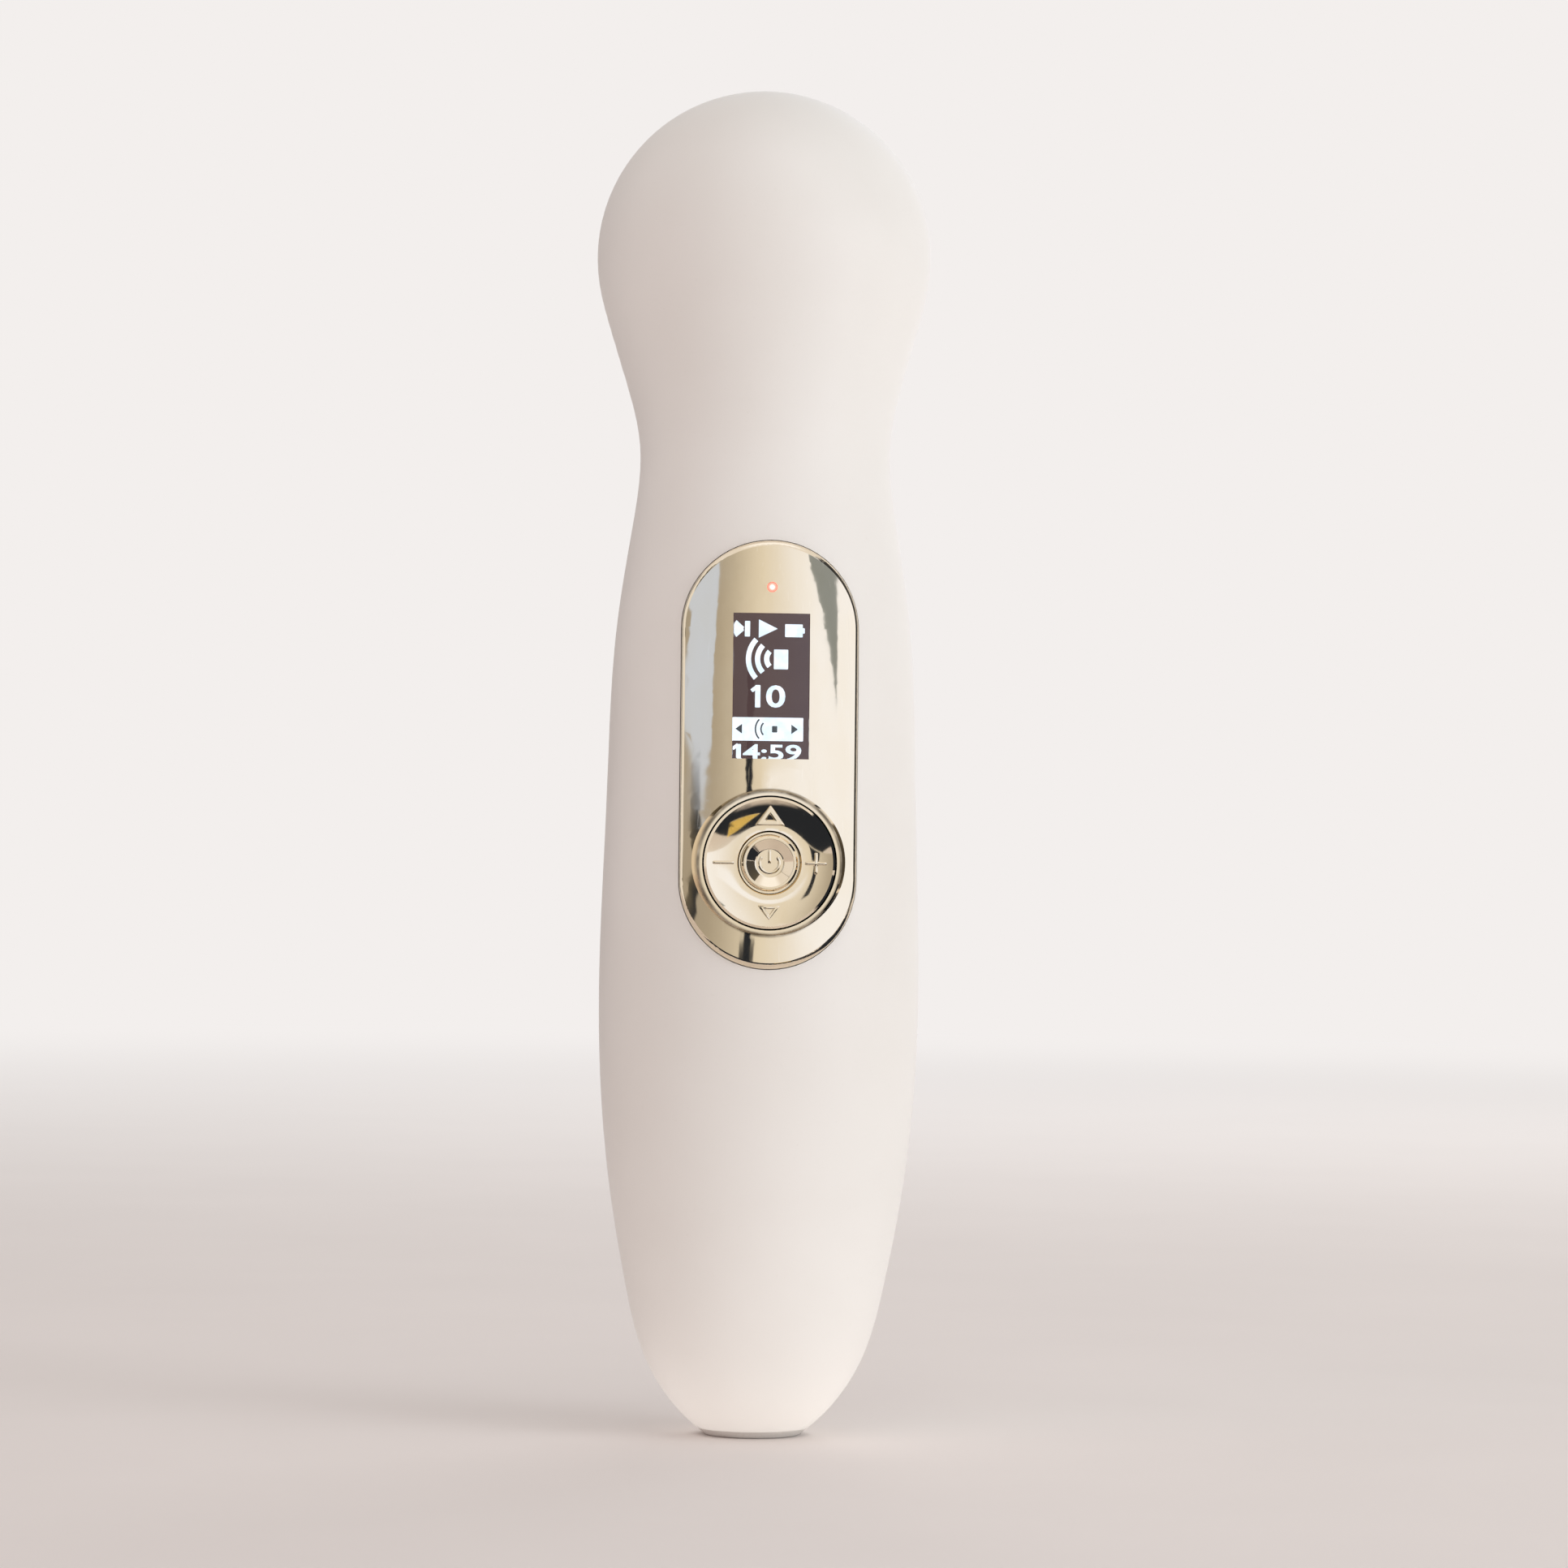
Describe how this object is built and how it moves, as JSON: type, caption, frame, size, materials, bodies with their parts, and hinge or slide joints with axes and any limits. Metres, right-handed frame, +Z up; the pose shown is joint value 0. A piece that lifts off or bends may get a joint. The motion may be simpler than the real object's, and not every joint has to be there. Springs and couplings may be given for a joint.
{
  "type": "ultrasonic red light facial device",
  "caption": "Cordless hand-held skin care wand with a ball head, flat ultrasonic probe in a red light ring, display, rocking four-way key and power button.",
  "frame": {"origin": "middle of the flat foot that the device stands on", "axes": "+Z up along the handle towards the head; -Y is the side with the display and keys; +X is the plus side of the four-way key; the treatment face looks to +Y and 12 degrees up"},
  "size_m": [0.0506, 0.0502, 0.203],
  "materials": {
    "ivory_shell": "soft-touch moulded plastic",
    "gold_plating": "mirror plated plastic",
    "clear_plastic": "clear smoked plastic",
    "display_glass": "display glass",
    "frosted_plastic": "frosted clear plastic",
    "silicone": "moulded silicone",
    "adhesive": "adhesive film",
    "foam": "closed-cell foam",
    "black_plastic": "moulded plastic",
    "grey_plastic": "moulded plastic",
    "circuit_board": "solder resist on glass epoxy",
    "polyimide": "flexible circuit",
    "led_red": "diffused LED body",
    "ferrite": "sintered ferrite",
    "copper_winding": "taped copper winding",
    "cell_can": "sleeved steel can",
    "plated_steel": "nickel-plated steel",
    "probe_metal": "polished plated steel",
    "wire_cover": "insulated wire",
    "piezo_ceramic": "silvered ceramic"
  },
  "bodies": {
    "housing": {"front_shell": "ivory_shell", "rear_shell": "ivory_shell", "control_bezel": "gold_plating", "bezel_adhesive": "adhesive", "keypad_mat": "silicone", "tact_switches": "black_plastic", "display_lens": "clear_plastic", "display_panel": "display_glass", "display_bracket": "grey_plastic", "display_ribbon": "polyimide", "ribbon_connector": "black_plastic", "indicator_light_pipe": "frosted_plastic", "indicator_led": "led_red", "main_board": "circuit_board", "controller_chips": "black_plastic", "board_link": "black_plastic", "chassis": "grey_plastic", "driver_board": "circuit_board", "transformer_core": "ferrite", "transformer_coil": "copper_winding", "boost_inductor": "ferrite", "power_transistors": "black_plastic", "driver_capacitors": "cell_can", "battery_cell": "cell_can", "battery_tabs": "plated_steel", "battery_foam_pad": "foam", "battery_leads": "wire_cover", "transducer_leads": "wire_cover", "led_leads": "wire_cover", "charge_board": "circuit_board", "charge_chip": "black_plastic", "charge_port_shell": "plated_steel", "charge_port_tongue": "black_plastic", "treatment_probe": "probe_metal", "piezo_disc": "piezo_ceramic", "probe_gasket": "silicone", "light_ring": "frosted_plastic", "head_seal": "silicone", "head_rim_ring": "gold_plating", "led_board": "circuit_board", "red_leds": "led_red", "head_carrier": "grey_plastic", "carrier_screws": "plated_steel", "shell_screws": "plated_steel", "chassis_screws": "plated_steel", "board_screws": "plated_steel"},
    "gimbal": {"key_gimbal": "grey_plastic"},
    "key": {"key_ring": "gold_plating"},
    "power": {"power_button": "gold_plating"}
  },
  "joints": [
    {"name": "key_tilt_up_down", "type": "hinge", "parent": "housing", "child": "gimbal", "pos_m": [0, -0.019, 0.0863], "axis": [1, 0, 0], "range_deg": [-2, 2], "stiffness_Nm_per_rad": 0.5, "deforming": ["keypad_mat"]},
    {"name": "key_tilt_left_right", "type": "hinge", "parent": "gimbal", "child": "key", "pos_m": [0, -0.019, 0.0863], "axis": [0, 0, 1], "range_deg": [-2, 2], "stiffness_Nm_per_rad": 0.5, "deforming": ["keypad_mat"]},
    {"name": "power_press", "type": "slide", "parent": "housing", "child": "power", "axis": [0, 1, 0], "range_m": [0, 0.0005], "stiffness_N_per_m": 3000, "deforming": ["keypad_mat"]}
  ]
}
